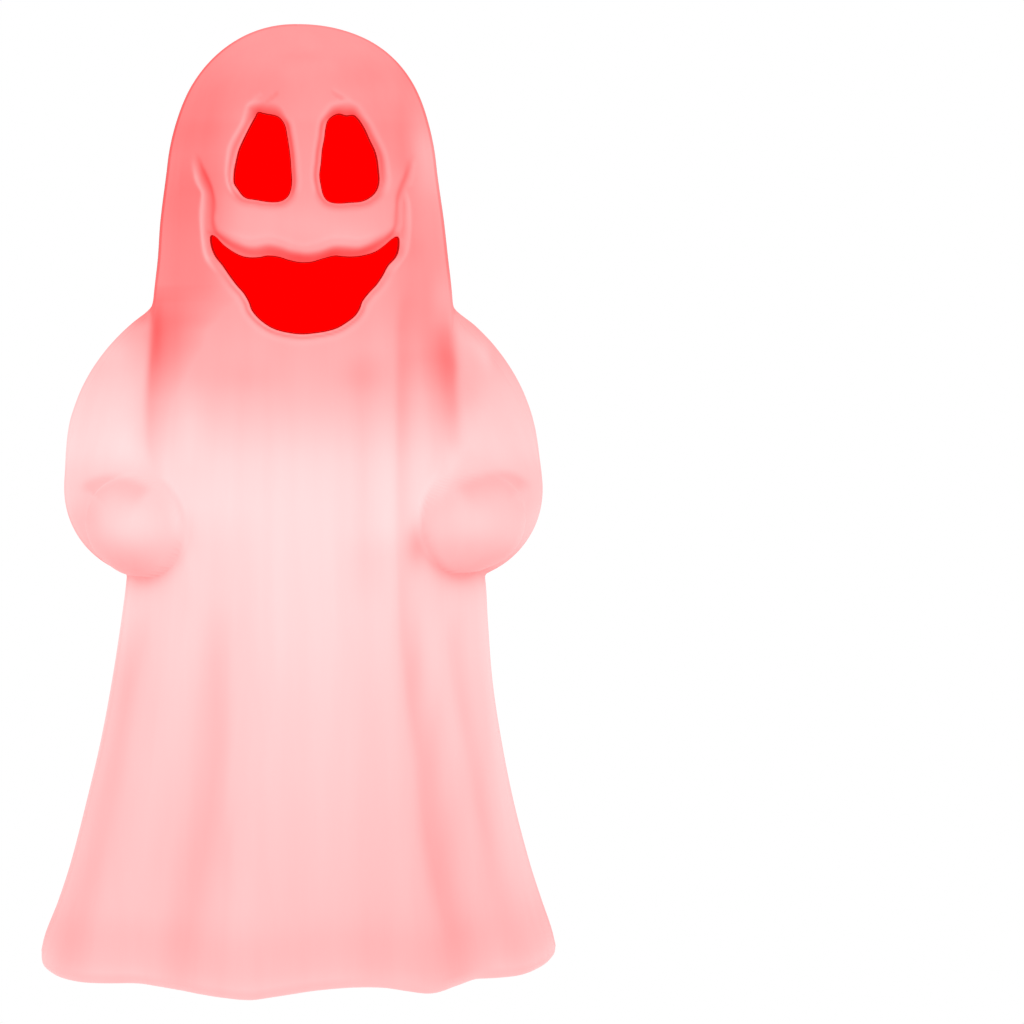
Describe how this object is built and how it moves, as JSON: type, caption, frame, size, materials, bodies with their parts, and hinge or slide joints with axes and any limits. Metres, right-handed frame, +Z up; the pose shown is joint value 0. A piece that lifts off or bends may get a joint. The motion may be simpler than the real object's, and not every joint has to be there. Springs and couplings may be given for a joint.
{
  "type": "light-up ghost",
  "caption": "Free-standing hollow sheet ghost with bent arms and an open face, lit from inside by a twist-lock battery lamp unit with a slide switch and a battery door.",
  "frame": {"origin": "on the surface it stands on, under the middle of the hem", "axes": "+Z up to the crown, the face looks along -Y, the ghost's own left arm is at +X"},
  "size_m": [0.3365, 0.2328, 0.61],
  "materials": {
    "shell": "satin translucent white blow-moulded plastic, glowing red from inside",
    "housing": "fine-textured white moulded plastic",
    "door": "fine-textured white moulded plastic with finger ribs",
    "gasket": "closed-cell foam ring",
    "pad": "open foam",
    "screws": "zinc-plated cross-head",
    "cells": "printed dark sleeve with bare metal ends",
    "contacts": "nickel-plated spring steel",
    "switch": "ribbed black plastic",
    "switch_can": "pressed steel can",
    "board": "green solder mask",
    "chip": "moulded black",
    "capacitor": "dark blue sleeve",
    "led_board": "white solder mask",
    "led": "clear red epoxy, lit",
    "diffuser": "frosted translucent cap, lit red",
    "lead_red": "red insulation",
    "lead_black": "black insulation"
  },
  "bodies": {
    "ghost": {"ghost_shell": "shell"},
    "lamp_unit": {"base_housing": "housing", "flange_gasket": "gasket", "battery_1": "cells", "battery_2": "cells", "battery_3": "cells", "battery_spring_1": "contacts", "battery_spring_2": "contacts", "battery_spring_3": "contacts", "contact_negative": "contacts", "contact_bridge_front": "contacts", "contact_bridge_back": "contacts", "contact_positive": "contacts", "switch_body": "switch_can", "switch_screw_1": "screws", "switch_screw_2": "screws", "control_board": "board", "timer_chip": "chip", "capacitor": "capacitor", "board_screw_1": "screws", "board_screw_2": "screws", "housing_cover": "housing", "cover_screw_1": "screws", "cover_screw_2": "screws", "cover_screw_3": "screws", "mast_tube": "housing", "mast_screw_1": "screws", "mast_screw_2": "screws", "mast_screw_3": "screws", "lamp_carrier": "housing", "led_board": "led_board", "led_1": "led", "led_2": "led", "led_3": "led", "led_4": "led", "led_5": "led", "led_6": "led", "lamp_diffuser": "diffuser", "lead_negative": "lead_black", "lead_positive": "lead_red", "lamp_lead_red": "lead_red", "lamp_lead_black": "lead_black"},
    "door": {"battery_door": "door", "door_screw": "screws", "door_pad": "pad"},
    "slider": {"switch_slider": "switch"}
  },
  "joints": [
    {"name": "twist_lock", "type": "hinge", "parent": "ghost", "child": "lamp_unit", "pos_m": [0, 0, 0.0155], "axis": [0, 0, 1], "range_deg": [0, 30]},
    {"name": "door_hinge", "type": "hinge", "parent": "lamp_unit", "child": "door", "pos_m": [0, -0.0318, 0.0093], "axis": [-1, 0, 0], "range_deg": [0, 95]},
    {"name": "switch_slide", "type": "slide", "parent": "lamp_unit", "child": "slider", "axis": [0, 1, 0], "range_m": [0, 0.004]}
  ]
}
